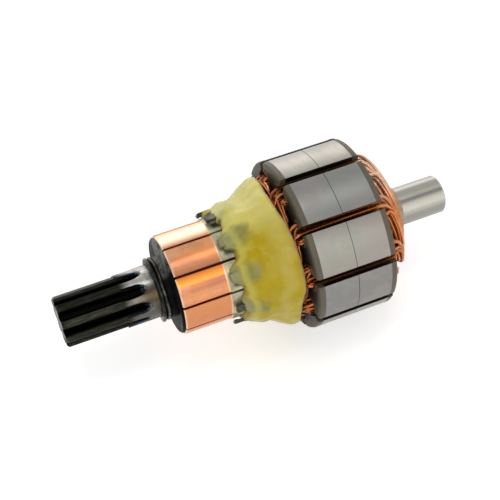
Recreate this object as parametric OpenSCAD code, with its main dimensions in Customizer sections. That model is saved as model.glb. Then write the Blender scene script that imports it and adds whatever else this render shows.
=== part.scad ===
// Wound armature of a small brushed direct-current motor, with a toothed shaft end.
// The shaft lies along X, pinion towards -X. The origin is on the shaft's axis, at the
// inner end of the rear bearing journal. +Z is up, and the armature lies on its core.

/* [Shaft] */
// Diameter of the rear bearing journal
journal_d = 8; // [6:0.1:8.2]
// Length of the rear bearing journal
journal_l = 10.2; // [6:0.1:20]
// Chamfer on the end of the rear journal
journal_chamfer = 0.5; // [0.1:0.1:1]
// Diameter of the shaft behind the core, under the rear sleeve
rear_shaft_d = 8.4; // [8.2:0.1:9.4]
// Diameter of the seat that carries the commutator and the core
seat_d = 10; // [9.6:0.1:10.6]
// Diameter of the front bearing neck
neck_d = 10.9; // [10.7:0.1:11.6]
// Length of the front neck, from the commutator to the pinion
neck_l = 8.5; // [7.5:0.1:14]

/* [Pinion] */
// Outer diameter of the pinion
pinion_d = 10.4; // [10:0.1:10.6]
// Length of the pinion's full teeth
pinion_l = 12.5; // [6:0.5:25]
// Diameter at the bottom of the tooth spaces
root_d = 6.6; // [6:0.1:7]
// Gear module
gear_module = 1; // [0.98:0.01:1.02]
// Profile shift, as a share of the module
gear_shift = 0.27; // [0.2:0.01:0.35]
// Length that the tooth spaces run on at full depth, past the teeth
run_on_l = 2.6; // [1:0.1:3]
// Height of the axis of the cutter that ends a tooth space, above the neck
cutter_rise = 0.15; // [0.05:0.05:1.5]
// Chamfer on the pinion's free end
pinion_chamfer = 0.4; // [0.1:0.1:0.8]

/* [Washers] */
// Outer diameter of the two spacer washers
washer_d = 13.4; // [12.4:0.1:15]
// Thickness of the outer washer
outer_washer_t = 0.9; // [0.5:0.1:1.2]
// Thickness of the inner washer
inner_washer_t = 0.8; // [0.5:0.1:1.2]
// Radial play between the washers and the neck
washer_play = 0.1; // [0.05:0.05:0.3]

/* [Commutator] */
// Diameter of the brush track
track_d = 20.6; // [20:0.1:21]
// Length of the brush track
track_l = 9.8; // [8:0.1:14]
// Height of the riser above the brush track
riser_step = 0.2; // [0.1:0.05:0.4]
// Length of the riser
riser_l = 3.4; // [3.2:0.1:5]
// Width of the slots between the bars
bar_slot = 0.5; // [0.3:0.05:0.8]
// Depth of the slots between the bars, below the brush track
bar_undercut = 0.8; // [0.4:0.1:1]
// Depth of the bars, down to the foot of their anchors
bar_depth = 2.9; // [2.4:0.1:3.2]
// Thickness of the moulding in front of the bars
collar_t = 0.5; // [0.3:0.1:1]
// Diameter of the moulding's front boss
boss_d = 12.6; // [12:0.1:14]
// Length of the moulding's front boss
boss_l = 1; // [0.5:0.1:2]
// Length of the moulding behind the bars
tail_l = 0.4; // [0.2:0.1:1]

/* [Hooks] */
// Width of a hook
hook_w = 1.8; // [1.4:0.1:2.2]
// Thickness of a hook
hook_t = 0.75; // [0.5:0.05:0.9]
// Gap under a hook, which holds the coil leads
hook_gap = 0.5; // [0.4:0.05:0.7]
// Length of a hook along the shaft
hook_l = 3.1; // [2.6:0.1:3.2]

/* [Core] */
// Diameter of the core
core_d = 35.5; // [35:0.1:36.5]
// Length of each of the two lamination stacks
stack_l = 7.2; // [5:0.1:14]
// Thickness of an end insulator
insulator_t = 1.25; // [1:0.05:2]
// Radius on the outer edge of an end insulator
insulator_round = 0.6; // [0.2:0.1:0.9]
// Width of a slot's mouth
slot_mouth = 1.8; // [1.4:0.1:2.2]
// Width of a tooth
tooth_w = 3.6; // [3.3:0.1:3.8]
// Thickness of the tooth's shoe at the slot mouth
shoe_t = 1.3; // [1.1:0.1:1.6]
// Slope of the shoe's underside
shoe_slope = 25; // [18:1:30]
// Radius at the bottom of a slot, from the shaft's axis
slot_floor = 8.3; // [8.1:0.1:8.6]
// Fillet between a tooth and its shoe
shoe_fillet = 0.7; // [0.6:0.05:1]
// Length of the shaft between the commutator and the core
lead_space = 11.5; // [10.5:0.1:14]

/* [Windings] */
// Thickness of a slot liner
liner_t = 0.25; // [0.2:0.05:0.35]
// Play between liner, slot and coil
slot_play = 0.05; // [0.02:0.01:0.1]
// How far a liner stands out of the core
liner_out = 0.2; // [0.1:0.05:0.3]
// Radius where the two coil sides in a slot meet
slot_split = 11.8; // [11.6:0.1:12]
// Width of a coil's end turn
turn_w = 2.0; // [1.6:0.1:2.1]
// Height of a coil's end turn
turn_h = 2.0; // [1.6:0.05:2.05]
// Clearance between the two layers of end turns
layer_gap = 0.25; // [0.2:0.05:0.35]
// Radius of the end turns at the shaft
knuckle_r = 6.7; // [6.6:0.1:6.9]
// Height of the outer end turns above the core
dome_rise = 5.4; // [5.2:0.1:5.8]

/* [Sleeves] */
// Wall of the insulating sleeves on the shaft
sleeve_wall = 0.4; // [0.3:0.05:0.6]
// Length of the shaft sleeve behind the core
rear_sleeve_l = 8.4; // [7.6:0.1:14]

/* [Resin] */
// Thickness of the resin over the hooks and the coil leads
resin_cover = 1.55; // [1.3:0.05:1.8]
// Thickness of the resin at its swell, over the coils' ends
resin_wall = 0.75; // [0.6:0.05:1]
// Length of the resin over the risers, at the hooks
resin_lap = 2.4; // [2:0.1:2.6]
// Gap between the resin and the core
resin_core_gap = 1.9; // [1.5:0.1:2.3]
// Depth of the scallops along the resin's front edge
scallop = 1.5; // [0.4:0.1:1.6]
// Height of the waves that the leads raise in the resin
resin_wave = 0.18; // [0:0.02:0.25]
// Play between the resin and what it covers
resin_play = 0.08; // [0.05:0.01:0.15]

/* [Hidden] */
$fn = 96;
slot_count = 10;
tooth_count = 9;
pressure_angle = 20;
pinion_phase = 30;
coil_pitch = 4;
slot_pitch = 360 / slot_count;
half_pitch = slot_pitch / 2;
coil_span = coil_pitch * slot_pitch;
cut_margin = 1;

// Places along the shaft, from the rear journal towards the pinion
core_rear = -rear_sleeve_l;
core_l = 2 * (stack_l + insulator_t);
core_front = core_rear - core_l;
bars_l = track_l + riser_l;
hub_rear = core_front - lead_space;
bars_rear = hub_rear - tail_l;
bars_front = bars_rear - bars_l;
hub_face = bars_front - collar_t;
boss_face = hub_face - boss_l;
inner_washer_face = boss_face - inner_washer_t;
outer_washer_face = inner_washer_face - outer_washer_t;
pinion_end = boss_face - neck_l;
shaft_tip = pinion_end - pinion_l;

// Radii that follow from the sizes above
core_r = core_d / 2;
track_r = track_d / 2;
riser_r = track_r + riser_step;
anchor_r = track_r - bar_depth;
hook_r = riser_r + hook_gap + hook_t;
sleeve_r = seat_d / 2 + sleeve_wall;
rear_sleeve_r = rear_shaft_d / 2 + sleeve_wall;

// ---- helpers ----

// Turns a shape built upwards along Z onto the shaft; its X side faces down.
module on_shaft(place = 0) {
    translate([place, 0, 0]) rotate([0, 90, 0]) children();
}

// A ring around the local Z axis.
module ring(r_out, r_in, length) {
    difference() {
        cylinder(r = r_out, h = length);
        translate([0, 0, -cut_margin]) cylinder(r = r_in, h = length + 2 * cut_margin);
    }
}

function unit(v) = v / norm(v);
function mix(a, b, t) = a + (b - a) * t;
function smooth(t) = let (c = max(0, min(1, t))) c * c * (3 - 2 * c);
function polar(r, angle) = [r * cos(angle), r * sin(angle)];
function arc(centre, r, from, to, steps) =
    [for (i = [0:steps]) centre + polar(r, mix(from, to, i / steps))];

// Point where the line from p along d meets the line from q along e.
function meet(p, d, q, e) =
    p + d * ((q.x - p.x) * e.y - (q.y - p.y) * e.x) / (d.x * e.y - d.y * e.x);

// ---- shaft with its pinion ----

base_r = gear_module * tooth_count * cos(pressure_angle) / 2;

function involute(angle) = tan(angle) * 180 / PI - angle;

// Half the angle that a tooth takes up at radius r.
function tooth_half(r) =
    let (slope = acos(min(1, base_r / max(r, base_r))))
    90 / tooth_count + 2 * gear_shift * tan(pressure_angle) / tooth_count * 180 / PI
    + involute(pressure_angle) - involute(slope);

// Half of the width of a tooth space at radius r.
function space_half(r) = r * sin(180 / tooth_count - tooth_half(r));

flank_steps = 6;
space_top = neck_d / 2 + 0.4;

// One side of a tooth space as [height from the shaft's axis, half width], up to a top.
// The rounded floor is undercut, so that it is nearly as wide as the foot of the flanks.
function space_side(top) =
    let (root = root_d / 2, foot = space_half(base_r), depth = base_r - root)
    concat([[root, foot * 0.72], [root + 0.12 * depth, foot * 0.9],
            [root + 0.35 * depth, foot]],
        [for (i = [0:flank_steps])
            let (r = mix(base_r, top, i / flank_steps)) [r, space_half(r)]]);

// Outline of a tooth space as height and width, drawn in by ease on every side.
function space_outline(top, ease = 0) =
    let (side = [for (p = space_side(top)) [p[0] + ease, p[1] - ease]])
    concat(side, [for (i = [len(side) - 1:-1:0]) [side[i][0], -side[i][1]]]);

// One tooth space: straight along the teeth and on, then ended by a round cutter.
module tooth_space() {
    cutter_axis = neck_d / 2 + cutter_rise;
    cutter_ease = 0.02;
    cutter_start = 0.3;
    cutter_top = min(space_top, cutter_axis - 2 * cutter_ease);
    translate([0, 0, -cut_margin])
        linear_extrude(pinion_l + run_on_l + cut_margin - cutter_start)
            polygon(space_outline(space_top));
    translate([cutter_axis, 0, pinion_l + run_on_l]) rotate([90, 0, 0]) rotate_extrude()
        polygon([for (p = space_outline(cutter_top, cutter_ease))
            [cutter_axis - p[0], p[1]]]);
}

module shaft_blank() {
    tip_r = pinion_d / 2;
    end = journal_l;
    on_shaft() rotate_extrude() polygon([
        [0, shaft_tip], [tip_r - pinion_chamfer, shaft_tip],
        [tip_r, shaft_tip + pinion_chamfer], [tip_r, pinion_end],
        [neck_d / 2, pinion_end], [neck_d / 2, boss_face],
        [seat_d / 2, boss_face], [seat_d / 2, core_rear],
        [rear_shaft_d / 2, core_rear], [rear_shaft_d / 2, 0],
        [journal_d / 2, 0], [journal_d / 2, end - journal_chamfer],
        [journal_d / 2 - journal_chamfer, end], [0, end]]);
}

module shaft() {
    color("dimgray") difference() {
        shaft_blank();
        for (i = [0:tooth_count - 1])
            on_shaft(shaft_tip)
                rotate(pinion_phase + (i + 0.5) * 360 / tooth_count) tooth_space();
    }
}

// ---- washers ----

module washer(place, thickness) {
    edge = thickness / 3;
    bore = neck_d / 2 + washer_play;
    rim = washer_d / 2;
    on_shaft(place) rotate_extrude() polygon([
        [bore, 0], [rim - edge, 0], [rim, edge],
        [rim, thickness - edge], [rim - edge, thickness], [bore, thickness]]);
}

module spacer_washer_outer() {
    color("darkslategray") washer(outer_washer_face, outer_washer_t);
}

module spacer_washer_inner() {
    color("slategray") washer(inner_washer_face, inner_washer_t);
}

// ---- commutator ----

// Section of a bar: brush track, riser and a dovetail anchor below.
module bar_profile() {
    edge = 0.25;
    foot = 1.3;
    neck = 2.3;
    web_r = mix(anchor_r, track_r, 0.5);
    polygon([
        [track_r - edge, 0], [track_r, edge], [track_r, track_l], [riser_r, track_l],
        [riser_r, bars_l], [web_r, bars_l], [web_r, bars_l - neck],
        [anchor_r, bars_l - foot], [anchor_r, foot], [web_r, neck], [web_r, 0]]);
}

// Wedge between two neighbouring slots, with sides parallel to the slots' middles.
module bar_wedge(slot) {
    reach = 2 * hook_r;
    start = slot / 2 / sin(half_pitch);
    translate([0, 0, -cut_margin]) linear_extrude(bars_l + 2 * cut_margin)
        polygon([[start, 0], [start, 0] + polar(reach, half_pitch),
            [start, 0] + polar(reach, -half_pitch)]);
}

module bar_body() {
    intersection() {
        rotate_extrude() bar_profile();
        bar_wedge(bar_slot);
    }
}

// Hook of a bar: it rises from the bar's rear end and is bent back over the riser.
module hook() {
    round = 0.45;
    low = riser_r + hook_gap;
    tip = bars_l - hook_l;
    root = bars_l - hook_t;
    translate([0, hook_w / 2, 0]) rotate([90, 0, 0]) linear_extrude(hook_w) {
        polygon([[riser_r - 0.3, root], [riser_r - 0.3, bars_l],
            [hook_r - round, bars_l], [hook_r, bars_l - round],
            [hook_r, tip + round], [hook_r - round / 2, tip],
            [low + 0.1, tip], [low, tip + 0.2], [low, root - 0.15], [low - 0.15, root]]);
        translate([hook_r - round, bars_l - round]) circle(round);
        translate([hook_r - round, tip + round]) circle(round);
    }
}

module commutator_bar(number) {
    color("peru") on_shaft(bars_front) rotate((number - 0.5) * slot_pitch) {
        bar_body();
        hook();
    }
}

module commutator_hub() {
    fill_r = track_r - bar_undercut;
    collar_r = track_r - 0.35;
    chamfer = 0.3;
    tail_r = track_r - 1.6;
    color([0.12, 0.12, 0.13]) difference() {
        on_shaft() rotate_extrude() polygon([
            [seat_d / 2, boss_face], [boss_d / 2, boss_face], [boss_d / 2, hub_face],
            [collar_r - chamfer, hub_face], [collar_r, hub_face + chamfer],
            [collar_r, bars_front], [fill_r, bars_front], [fill_r, bars_rear],
            [tail_r, bars_rear], [tail_r, hub_rear], [seat_d / 2, hub_rear]]);
        for (i = [1:slot_count])
            on_shaft(bars_front) rotate((i - 0.5) * slot_pitch) bar_body();
    }
}

// ---- core ----

mouth_floor = core_r - shoe_t;
slot_floor_fillet =
    (slot_floor * sin(half_pitch) - tooth_w / 2) / (1 - sin(half_pitch));
slot_floor_centre = slot_floor + slot_floor_fillet;

// Corner of a slot under the shoe, with the slot's wall moved in by inset.
function shoe_corner(inset) = meet(
    [0, -(tooth_w / 2 + inset) / cos(half_pitch)], polar(1, half_pitch),
    [mouth_floor, slot_mouth / 2] - inset * polar(1, shoe_slope),
    polar(1, 90 + shoe_slope));

// Outline of one slot around the X axis, its wall moved in by inset.
function slot_outline(inset) =
    let (round = shoe_fillet - inset,
        corner = shoe_corner(shoe_fillet),
        under = corner + round * polar(1, shoe_slope),
        top = meet(under, polar(1, 90 + shoe_slope), [0, slot_mouth / 2], [1, 0]),
        side = 90 + half_pitch,
        half = concat([top], arc(corner, round, shoe_slope, side, 6),
            arc([slot_floor_centre, 0], slot_floor_fillet - inset, side, 174, 6)))
    concat(half, [[slot_floor + inset, 0]],
        [for (i = [len(half) - 1:-1:0]) [half[i].x, -half[i].y]]);

module slot_pocket(inset = 0) {
    polygon(slot_outline(inset));
}

module slot_mouth_gap() {
    translate([mouth_floor - cut_margin, -slot_mouth / 2])
        square([shoe_t + 2 * cut_margin, slot_mouth]);
}

module lamination() {
    difference() {
        circle(core_r);
        circle(seat_d / 2);
        for (i = [0:slot_count - 1]) rotate(i * slot_pitch) {
            slot_pocket();
            slot_mouth_gap();
        }
    }
}

module core_stack(place) {
    color("silver") on_shaft(place) linear_extrude(stack_l) lamination();
}

module core_stack_front() { core_stack(core_front + insulator_t); }

module core_stack_rear() { core_stack(core_front + insulator_t + stack_l); }

// End insulator with a rounded rim on the side away from the core.
module end_insulator() {
    round = insulator_round;
    color("dimgray") intersection() {
        linear_extrude(insulator_t) lamination();
        rotate_extrude() {
            square([core_r - round, insulator_t]);
            square([core_r, insulator_t - round]);
            translate([core_r - round, insulator_t - round]) circle(round);
        }
    }
}

module end_insulator_front() {
    on_shaft(core_front + insulator_t) mirror([0, 0, 1]) end_insulator();
}

module end_insulator_rear() {
    on_shaft(core_rear - insulator_t) end_insulator();
}

// ---- slot liners and coils ----

module slot_liner(number) {
    color("tan") on_shaft(core_front - liner_out) rotate((number - 1) * slot_pitch)
        linear_extrude(core_l + 2 * liner_out) difference() {
            slot_pocket(slot_play);
            slot_pocket(slot_play + liner_t);
            slot_mouth_gap();
        }
}

coil_inset = liner_t + 2 * slot_play;

// Half the room for a coil side in a slot, at distance x from the shaft's axis.
function slot_half(x) =
    x * tan(half_pitch) - (tooth_w / 2 + coil_inset) / cos(half_pitch);

// Room left round a coil side: below it, above it, beside it and beside its top.
floor_room = 0.1;
top_room = 0.25;
side_room = 0.05;
corner_room = 0.35;

low_floor = slot_floor + coil_inset + floor_room;
low_top = slot_split - layer_gap / 2;
low_r = (low_floor + low_top) / 2;
high_floor = slot_split + layer_gap / 2;
high_top = shoe_corner(coil_inset).x - top_room;
high_r = (high_floor + high_top) / 2;

// How far the end turns lie inside the high side and outside the low side.
high_turn_in = 0.5;
low_turn_out = 0.6;
high_turn_r = high_r - high_turn_in;
low_turn_r = low_r + low_turn_out;
knuckle_share = 0.6;
changeover = 0.48 * half_pitch;

// Sections as [half width at the bottom, half width at the top, half height]
low_foot = 0.5;
low_side = [low_foot, slot_half(low_top) - side_room, (low_top - low_floor) / 2];
high_side = [slot_half(high_floor) - side_room, slot_half(high_top) - corner_room,
    (high_top - high_floor) / 2];
turn_side = [turn_w / 2, turn_w / 2, turn_h / 2];

// The end turns lie on two elliptic domes, one inside the other.
dome_centre = 4;
dome_room = 1.15;
dome_reach = high_r - dome_centre + dome_room;
bend_drop = 0.25;
layer_pitch = turn_h + layer_gap;

// Height of a layer above the core at radius r, outer layer 0 and inner layer 1.
function rise(r, layer) =
    (dome_rise - layer * layer_pitch)
    * sqrt(1 - pow((r - dome_centre) / (dome_reach - layer * layer_pitch), 2));

// Tilt of a layer's outward normal, from radial towards axial.
function dome_tilt(r, layer) =
    let (a = dome_rise - layer * layer_pitch, b = dome_reach - layer * layer_pitch)
    atan2(rise(r, layer) / pow(a, 2), (r - dome_centre) / pow(b, 2));

bend_steps = 4;
spiral_steps = 8;

// Stations of the bend out of the slot: [rise, radius, angle, tilt, section]
function bend(side_r, end_r, side, layer) =
    let (top = rise(end_r, layer), bend_r = top - bend_drop)
    [for (i = [0:bend_steps])
        let (t = i / bend_steps, turn = 90 * t)
        [top - bend_r + bend_r * sin(turn), mix(side_r, end_r, smooth(1.8 * t)),
            bend_r * (1 - cos(turn)) / end_r * 180 / PI,
            mix(0, dome_tilt(end_r, layer), smooth(t)),
            mix(side, turn_side, smooth(1.8 * t))]];

// Stations of the spiral from the bend to the knuckle, where the layers change over.
function spiral(end_r, start_angle, end_angle, layer) =
    [for (i = [1:spiral_steps])
        let (t = i / spiral_steps,
            angle = mix(start_angle, end_angle, t),
            r = mix(end_r, knuckle_r, t),
            near = max(0, 1 - (end_angle - angle) / changeover),
            drop = 0.5 * pow(near, 1.5),
            height = mix(rise(r, layer), rise(r, 1 - layer), drop),
            tilt = mix(dome_tilt(r, layer), dome_tilt(r, 1 - layer), drop))
        [height, r, angle, tilt, turn_side]];

function half_turn(side_r, end_r, end_angle, side, layer) =
    let (start = bend(side_r, end_r, side, layer))
    concat(start, spiral(end_r, start[bend_steps][2], end_angle, layer));

knuckle_angle = knuckle_share * coil_span;
high_half = half_turn(high_r, high_turn_r, knuckle_angle, high_side, 0);
low_half = half_turn(low_r, low_turn_r, coil_span - knuckle_angle, low_side, 1);

// A station at one end of the core: way is 1 at the rear and -1 at the front.
function placed(s, way) =
    [way > 0 ? core_rear + s[0] : core_front - s[0], s[1], s[2], s[3] * way, s[4]];

function mirrored(s) = [s[0], s[1], coil_span - s[2], s[3], s[4]];

// Both halves of an end turn, from the high coil side to the low one.
function end_turn(way) =
    concat([for (s = high_half) placed(s, way)],
        [for (i = [len(low_half) - 2:-1:0]) placed(mirrored(low_half[i]), way)]);

function reversed(list) = [for (i = [len(list) - 1:-1:0]) list[i]];

coil_path = concat(end_turn(1), reversed(end_turn(-1)));

function station_point(s) = [s[1] * cos(s[2]), s[1] * sin(s[2]), s[0]];

// The eight corners of a coil's section at one station.
function section_ring(before, s, after) =
    let (along = unit(station_point(after) - station_point(before)),
        up = [cos(s[3]) * cos(s[2]), cos(s[3]) * sin(s[2]), sin(s[3])],
        across = unit(cross(along, up)),
        normal = cross(across, along),
        low = s[4][0], high = s[4][1], tall = s[4][2], cut = 0.3,
        low_wide = mix(low, high, cut / 2), high_wide = mix(high, low, cut / 2),
        corners = [[-low * (1 - cut), -tall], [low * (1 - cut), -tall],
            [low_wide, -tall * (1 - cut)], [high_wide, tall * (1 - cut)],
            [high * (1 - cut), tall], [-high * (1 - cut), tall],
            [-high_wide, tall * (1 - cut)], [-low_wide, -tall * (1 - cut)]])
    [for (c = corners) station_point(s) + across * c.x + normal * c.y];

// Closed tube through rings of equally many points.
module closed_tube(rings) {
    count = len(rings);
    sides = len(rings[0]);
    polyhedron(
        points = [for (ring = rings) each ring],
        faces = [for (i = [0:count - 1], j = [0:sides - 1])
            let (a = i * sides + j, b = i * sides + (j + 1) % sides,
                c = (i + 1) % count * sides + (j + 1) % sides,
                d = (i + 1) % count * sides + j)
            each [[a, b, c], [a, c, d]]]);
}

module coil(number) {
    count = len(coil_path);
    color("chocolate") on_shaft() rotate((number - 1) * slot_pitch)
        closed_tube([for (i = [0:count - 1])
            section_ring(coil_path[(i + count - 1) % count], coil_path[i],
                coil_path[(i + 1) % count])]);
}

// ---- sleeves on the shaft ----

module shaft_sleeve_front() {
    color("wheat") on_shaft(hub_rear) ring(sleeve_r, seat_d / 2, lead_space);
}

module shaft_sleeve_rear() {
    color("wheat") on_shaft(core_rear)
        ring(rear_sleeve_r, rear_shaft_d / 2, rear_sleeve_l);
}

// ---- resin band ----

resin_rear = core_front - resin_core_gap;
resin_front = bars_rear - resin_lap;
resin_steps = 14;

// Radii of the resin: over the leads, at the swell, and inside the swell.
lead_r = hook_r + resin_play;
cover_r = hook_r + resin_cover;
coil_room_r = high_top - top_room;
swell_r = coil_room_r + resin_wall;

// The resin rises to its cover at the hooks, and swells over the coils' ends.
cover_start = 1.2;
cover_rise = 4.2;
swell_start = resin_rear - 6.4;
swell_rise = 5.6;
room_start = resin_rear - 6.8;
room_rise = 5.2;
edge_tuck = 0.35;
tuck_rise = 0.9;
hook_half = asin((hook_w / 2 + resin_play) / riser_r);

// Angles around one bar, closer together beside its hook.
bar_angles = [-half_pitch, -0.7 * half_pitch, -0.45 * half_pitch, -hook_half - 0.6,
    -hook_half, 0, hook_half, hook_half + 0.6, 0.45 * half_pitch, 0.7 * half_pitch];

// How near an angle is to the middle of its bar, from 0 to 1.
function hook_share(angle) = (1 + cos(angle * slot_count)) / 2;

// Place of the resin's front edge, furthest forward at the hooks.
function resin_edge(angle) = resin_front + scallop * (1 - hook_share(angle));

// Outer radius of the resin at a place along the shaft.
function resin_out(place, angle) =
    let (shoulder = smooth((place - resin_front + cover_start) / cover_rise),
        swell = smooth((place - swell_start) / swell_rise),
        tuck = edge_tuck * smooth((place - resin_rear + tuck_rise) / tuck_rise),
        wave = resin_wave * cos(angle * slot_count + 12 * (place - resin_front)))
    mix(mix(riser_r, cover_r, shoulder), swell_r, swell) - tuck + wave * shoulder;

// Inner radius: on the risers beside the hooks, and clear of hooks, leads and coils.
function resin_in(place, angle) =
    let (over_hook = abs(angle) < hook_half + 0.1,
        room = smooth((place - room_start) / room_rise))
    place < bars_rear ? (over_hook ? lead_r : riser_r) : mix(lead_r, coil_room_r, room);

// Places along the band: the seat on the risers, then the free stretch.
function resin_places(angle) =
    concat([resin_edge(angle), bars_rear - 0.02],
        [for (i = [1:resin_steps / 2]) mix(bars_rear, resin_rear, i * 2 / resin_steps)]);

function resin_outer_places(angle) =
    [for (i = [0:resin_steps]) mix(resin_edge(angle), resin_rear, i / resin_steps)];

function resin_ring(angle) =
    concat(
        [for (place = resin_outer_places(angle)) [resin_out(place, angle), place]],
        [for (place = reversed(resin_places(angle))) [resin_in(place, angle), place]]);

module resin_band() {
    color("khaki") on_shaft()
        closed_tube([for (bar = [0:slot_count - 1], angle = bar_angles)
            let (turn = (bar + 0.5) * slot_pitch + angle)
            [for (p = resin_ring(angle)) [p.x * cos(turn), p.x * sin(turn), p.y]]]);
}

shaft();
spacer_washer_outer();
spacer_washer_inner();
commutator_hub();
commutator_bar(1);  // commutator_bar_01
commutator_bar(2);  // commutator_bar_02
commutator_bar(3);  // commutator_bar_03
commutator_bar(4);  // commutator_bar_04
commutator_bar(5);  // commutator_bar_05
commutator_bar(6);  // commutator_bar_06
commutator_bar(7);  // commutator_bar_07
commutator_bar(8);  // commutator_bar_08
commutator_bar(9);  // commutator_bar_09
commutator_bar(10);  // commutator_bar_10
core_stack_front();
core_stack_rear();
end_insulator_front();
end_insulator_rear();
slot_liner(1);  // slot_liner_01
slot_liner(2);  // slot_liner_02
slot_liner(3);  // slot_liner_03
slot_liner(4);  // slot_liner_04
slot_liner(5);  // slot_liner_05
slot_liner(6);  // slot_liner_06
slot_liner(7);  // slot_liner_07
slot_liner(8);  // slot_liner_08
slot_liner(9);  // slot_liner_09
slot_liner(10);  // slot_liner_10
coil(1);  // coil_01
coil(2);  // coil_02
coil(3);  // coil_03
coil(4);  // coil_04
coil(5);  // coil_05
coil(6);  // coil_06
coil(7);  // coil_07
coil(8);  // coil_08
coil(9);  // coil_09
coil(10);  // coil_10
shaft_sleeve_front();
shaft_sleeve_rear();
resin_band();
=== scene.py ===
"""Dresses a packed motor armature: finishes, winding wire, resin and a plain studio."""

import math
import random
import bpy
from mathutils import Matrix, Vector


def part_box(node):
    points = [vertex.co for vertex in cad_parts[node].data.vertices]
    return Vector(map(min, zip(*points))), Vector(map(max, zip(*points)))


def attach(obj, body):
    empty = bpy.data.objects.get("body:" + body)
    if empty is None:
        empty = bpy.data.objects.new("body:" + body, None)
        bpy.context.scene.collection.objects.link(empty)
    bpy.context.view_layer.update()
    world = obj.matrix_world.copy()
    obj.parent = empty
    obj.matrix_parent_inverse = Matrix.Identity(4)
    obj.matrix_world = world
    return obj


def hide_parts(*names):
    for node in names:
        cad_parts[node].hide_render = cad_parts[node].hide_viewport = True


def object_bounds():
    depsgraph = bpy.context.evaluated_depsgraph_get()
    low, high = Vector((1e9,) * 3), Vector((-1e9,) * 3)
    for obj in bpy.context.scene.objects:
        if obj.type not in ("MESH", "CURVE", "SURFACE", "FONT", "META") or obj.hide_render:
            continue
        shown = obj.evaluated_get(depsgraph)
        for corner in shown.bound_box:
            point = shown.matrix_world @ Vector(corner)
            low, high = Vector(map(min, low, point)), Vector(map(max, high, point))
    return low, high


bl_info = {
    "name": "Motor Armature",
    "version": (1, 0, 0),
    "blender": (4, 5, 0),
    "location": "3D View > Sidebar > Armature",
    "description": "Finishes, winding wire, resin band and studio for a wound motor armature",
    "category": "Object",
}

import bmesh
import bpy
from mathutils import Matrix, Vector, noise

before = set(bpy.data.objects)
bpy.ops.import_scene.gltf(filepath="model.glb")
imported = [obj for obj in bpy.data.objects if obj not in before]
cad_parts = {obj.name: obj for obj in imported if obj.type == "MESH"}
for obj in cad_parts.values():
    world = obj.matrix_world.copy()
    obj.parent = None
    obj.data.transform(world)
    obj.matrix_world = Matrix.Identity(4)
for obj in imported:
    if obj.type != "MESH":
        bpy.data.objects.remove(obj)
CAD_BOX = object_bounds()

MM = 0.001
BODY = "root"
BAR_COUNT = 10
PITCH = 360 / BAR_COUNT


def span(node, axis=0):
    """Lowest and highest place of a node along one axis, in millimetres."""
    low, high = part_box(node)
    return low[axis] / MM, high[axis] / MM


def reach_of(node, low, high):
    """Largest radius, in millimetres, of a node between two places along the shaft."""
    places = ([value / MM for value in vertex.co]
              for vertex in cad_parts[node].data.vertices)
    return max(math.hypot(y, z) for x, y, z in places if low <= x <= high)


# Places along the shaft and radii about it, in millimetres, read from the frame.
TEETH_L = 12.5        # full length of the pinion's teeth
RISER_L = 3.4         # riser and hook behind a bar's track
SHAFT_TIP, JOURNAL_END = span("shaft")
PINION_END = SHAFT_TIP + TEETH_L
NECK_R = span("shaft", 1)[1]
PINION_R = reach_of("shaft", SHAFT_TIP, PINION_END - 1)
JOURNAL_R = reach_of("shaft", JOURNAL_END - 1, JOURNAL_END)
WASHER_FACE = span("spacer_washer_outer")[0]
HUB_REAR = span("commutator_hub")[1]
BARS_FRONT, BARS_REAR = span("commutator_bar_01")
TRACK_END = BARS_REAR - RISER_L
TRACK_R = reach_of("commutator_bar_01", BARS_FRONT - 1, BARS_FRONT + 5)
HOOK_R = reach_of("commutator_bar_01", BARS_FRONT - 1, BARS_REAR + 1)
CORE_FRONT = span("end_insulator_front")[0]
CORE_REAR = span("end_insulator_rear")[1]
CORE_SEAM = span("core_stack_front")[1]
CORE_R = span("core_stack_front", 1)[1]
COIL_TOP = -span("coil_01", 2)[0]      # coil_01 lies in the lowest slot
RESIN_FRONT, RESIN_REAR = span("resin_band")
RESIN_R = span("resin_band", 1)[1]


# ---- small helpers ----

def mix(a, b, t):
    return a + (b - a) * t


def smooth(t):
    t = max(0.0, min(1.0, t))
    return t * t * (3 - 2 * t)


def on_shaft(along, radius, angle):
    """A point in metres: place along the shaft, radius, and degrees round from the bottom."""
    turn = math.radians(angle)
    return Vector((along, radius * math.sin(turn), -radius * math.cos(turn))) * MM


def numbered(stem):
    return [f"{stem}_{i:02d}" for i in range(1, BAR_COUNT + 1)]


def settle(piece, nodes):
    """Seats a finished piece on the body, and lets it stand for the nodes it replaces."""
    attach(piece, BODY)
    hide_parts(*nodes)


def new_piece(name, mesh, material=None):
    piece = bpy.data.objects.new(name, mesh)
    bpy.context.scene.collection.objects.link(piece)
    if material:
        mesh.materials.clear()
        mesh.materials.append(material)
    return piece


def shaped(bm, name):
    """A new mesh with a bmesh's shape; the bmesh is freed."""
    mesh = bpy.data.meshes.new(name)
    bm.to_mesh(mesh)
    bm.free()
    return mesh


def bake_modifiers(piece):
    """Puts the mesh that the modifiers make in the place of the piece's own."""
    bpy.context.view_layer.update()
    depsgraph = bpy.context.evaluated_depsgraph_get()
    mesh = bpy.data.meshes.new_from_object(piece.evaluated_get(depsgraph), depsgraph=depsgraph)
    mesh.name = piece.name
    piece.modifiers.clear()
    piece.data = mesh


def modify(piece, kind, **settings):
    """Adds one modifier with its settings and bakes it."""
    modifier = piece.modifiers.new(kind.lower(), kind)
    for name, value in settings.items():
        setattr(modifier, name, value)
    bake_modifiers(piece)


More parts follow.
